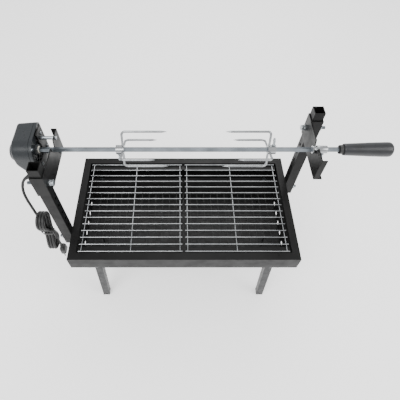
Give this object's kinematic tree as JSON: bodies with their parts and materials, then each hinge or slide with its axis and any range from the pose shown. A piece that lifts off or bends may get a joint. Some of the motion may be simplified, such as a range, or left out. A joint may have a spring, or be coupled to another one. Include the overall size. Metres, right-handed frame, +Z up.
{
  "type": "rotisserie spit roaster",
  "caption": "Rectangular charcoal tray on splayed legs, with wire cooking grates and a square spit with forks, turned by a gear motor between two height-adjustable brackets.",
  "frame": {"origin": "on the ground under the centre of the object's box, without its cord", "axes": "+X along the spit towards its handle, +Y to the rear, +Z up"},
  "size_m": [0.8805, 0.338, 0.5744],
  "materials": {
    "black_paint": "heat-resistant paint, slightly textured",
    "firebox_paint": "matt heat-resistant paint",
    "frame_paint": "hammered dark grey paint",
    "bracket_paint": "satin grey-black paint",
    "zinc": "bright zinc plate",
    "chromed_wire": "bright nickel and chrome plate",
    "motor_paint": "satin grey powder coat",
    "laminations": "oiled electrical steel",
    "winding": "varnished wire under tape",
    "gear_nylon": "moulded nylon",
    "black_plastic": "moulded plastic",
    "handle_plastic": "moulded phenolic, fine texture",
    "cord_sheath": "flexible sheath"
  },
  "bodies": {
    "stand": {"rim_frame": "black_paint", "fire_basin": "firebox_paint", "grate_ledges": "black_paint", "leg_front_left": "frame_paint", "leg_front_right": "frame_paint", "leg_rear_left": "frame_paint", "leg_rear_right": "frame_paint", "foot_plugs": "black_plastic", "leg_bolts": "zinc", "leg_nuts": "zinc", "basin_bolts": "zinc", "upright_left": "frame_paint", "upright_right": "frame_paint", "upright_bolts": "zinc", "upright_nuts": "zinc"},
    "carriage": {"bracket_left": "bracket_paint", "bracket_right": "bracket_paint", "height_bolts": "zinc", "height_nuts": "zinc", "motor_plate": "black_paint", "spacer_rods": "zinc", "spacer_nuts": "zinc", "plate_screws": "zinc", "gearbox_cover": "motor_paint", "motor_housing": "motor_paint", "cover_screws": "zinc", "gear_plate": "zinc", "idler_pin": "zinc", "stator_core": "laminations", "stator_coil": "winding", "bearing_bridges": "zinc", "terminal_block": "gear_nylon", "switch_body": "black_plastic", "strain_relief": "cord_sheath", "power_cord": "cord_sheath", "cord_hank": "cord_sheath", "cord_tie": "black_plastic", "cord_tail": "cord_sheath", "plug_body": "black_plastic", "plug_pins": "chromed_wire"},
    "spit": {"output_gear": "gear_nylon", "spit_rod_drive": "chromed_wire", "spit_rod_handle": "chromed_wire", "handle": "handle_plastic", "handle_ferrule": "black_plastic", "support_bush": "chromed_wire"},
    "idler": {"idler_gear": "gear_nylon"},
    "rotor": {"rotor_core": "laminations", "rotor_shaft": "zinc"},
    "fork_left": {"fork_left": "chromed_wire"},
    "fork_right": {"fork_right": "chromed_wire"},
    "fork_screw_left": {"fork_screw_left": "zinc"},
    "fork_screw_right": {"fork_screw_right": "zinc"},
    "bush_screw": {"bush_screw": "zinc"},
    "rocker": {"switch_rocker": "black_plastic"},
    "grate_left": {"grate_left": "chromed_wire"},
    "grate_right": {"grate_right": "chromed_wire"},
    "charcoal_grate": {"charcoal_grate": "firebox_paint"}
  },
  "joints": [
    {"name": "height_adjust", "type": "slide", "parent": "stand", "child": "carriage", "axis": [0, 0, 1], "range_m": [-0.15, 0.03]},
    {"name": "spit_spin", "type": "hinge", "parent": "carriage", "child": "spit", "pos_m": [-0.0355, 0, 0.529], "axis": [1, 0, 0], "continuous": true},
    {"name": "idler_spin", "type": "hinge", "parent": "carriage", "child": "idler", "pos_m": [-0.3855, 0.03, 0.529], "axis": [1, 0, 0], "continuous": true},
    {"name": "rotor_spin", "type": "hinge", "parent": "carriage", "child": "rotor", "pos_m": [-0.4035, 0.00463, 0.51977], "axis": [1, 0, 0], "continuous": true},
    {"name": "fork_left_slide", "type": "slide", "parent": "spit", "child": "fork_left", "axis": [1, 0, 0], "range_m": [-0.12, 0.05]},
    {"name": "fork_right_slide", "type": "slide", "parent": "spit", "child": "fork_right", "axis": [1, 0, 0], "range_m": [-0.05, 0.08]},
    {"name": "fork_screw_left_turn", "type": "hinge", "parent": "fork_left", "child": "fork_screw_left", "pos_m": [-0.186, 0, 0.529], "axis": [0, -0.309, -0.9511], "range_deg": [-360, 360]},
    {"name": "fork_screw_right_turn", "type": "hinge", "parent": "fork_right", "child": "fork_screw_right", "pos_m": [0.166, 0, 0.529], "axis": [0, 0.309, 0.9511], "range_deg": [-360, 360]},
    {"name": "bush_screw_turn", "type": "hinge", "parent": "spit", "child": "bush_screw", "pos_m": [0.2805, 0, 0.529], "axis": [0, -0.309, -0.9511], "range_deg": [-360, 360]},
    {"name": "rocker_press", "type": "hinge", "parent": "carriage", "child": "rocker", "pos_m": [-0.4055, 0.038, 0.462], "axis": [0, 1, 0], "range_deg": [-24, 0]},
    {"name": "grate_left_lift", "type": "slide", "parent": "stand", "child": "grate_left", "axis": [0, 0, 1], "range_m": [0, 0.02]},
    {"name": "grate_right_lift", "type": "slide", "parent": "stand", "child": "grate_right", "axis": [0, 0, 1], "range_m": [0, 0.02]},
    {"name": "charcoal_grate_lift", "type": "slide", "parent": "stand", "child": "charcoal_grate", "axis": [0, 0, 1], "range_m": [0, 0.05]}
  ],
  "couplings": [
    {"joint": "idler_spin", "follows": "spit_spin", "ratio": -4},
    {"joint": "rotor_spin", "follows": "spit_spin", "ratio": 14}
  ]
}
